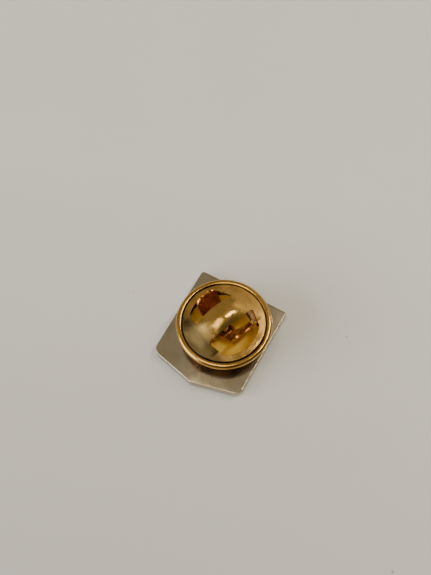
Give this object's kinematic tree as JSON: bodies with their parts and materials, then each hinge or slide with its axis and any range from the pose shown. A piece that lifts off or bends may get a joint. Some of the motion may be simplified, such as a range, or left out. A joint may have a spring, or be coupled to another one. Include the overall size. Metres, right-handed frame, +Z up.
{
  "type": "enamel pin",
  "caption": "Small shield-shaped enamel lapel pin lying face down, with a polished metal back, a soldered post and a gilt butterfly clutch whose finger wings squeeze.",
  "frame": {"origin": "middle of the whole object's footprint, on the surface that the enamel face rests on", "axes": "+Z up out of the badge's back towards the clutch, +Y towards the badge's straight top edge, +X to the right seen from the back"},
  "size_m": [0.012, 0.0135, 0.0065],
  "materials": {
    "nickel_plate": "polished nickel plate, faintly warm",
    "gilt_brass": "bright gilt brass with fine handling marks",
    "spring_bronze": "phosphor bronze, gilt",
    "post_steel": "nickel-plated nail",
    "solder": "dull solder",
    "navy_enamel": "glossy fired enamel",
    "teal_enamel": "glossy fired enamel",
    "white_enamel": "glossy fired enamel",
    "amber_enamel": "glossy fired enamel"
  },
  "bodies": {
    "badge": {"base_plate": "nickel_plate", "enamel_ring": "white_enamel", "enamel_chief": "navy_enamel", "enamel_field_left": "teal_enamel", "enamel_field_right": "teal_enamel", "enamel_lozenge": "amber_enamel", "post": "post_steel", "post_solder": "solder"},
    "clutch": {"clutch_cup": "gilt_brass", "clutch_cap": "gilt_brass", "spring_fold": "spring_bronze"},
    "left_wing": {"spring_leg_left": "spring_bronze"},
    "right_wing": {"spring_leg_right": "spring_bronze"}
  },
  "joints": [
    {"name": "clutch_pull", "type": "slide", "parent": "badge", "child": "clutch", "axis": [0, 0, 1], "range_m": [0, 0.008]},
    {"name": "left_wing_squeeze", "type": "hinge", "parent": "clutch", "child": "left_wing", "pos_m": [-0.00067, -0.00177, 0.0025], "axis": [0, 0, -1], "range_deg": [0, 8], "stiffness_Nm_per_rad": 0.0001},
    {"name": "right_wing_squeeze", "type": "hinge", "parent": "clutch", "child": "right_wing", "pos_m": [-0.00067, -0.00177, 0.0025], "axis": [0, 0, 1], "range_deg": [0, 8]}
  ],
  "couplings": [
    {"joint": "right_wing_squeeze", "follows": "left_wing_squeeze", "ratio": 1}
  ]
}
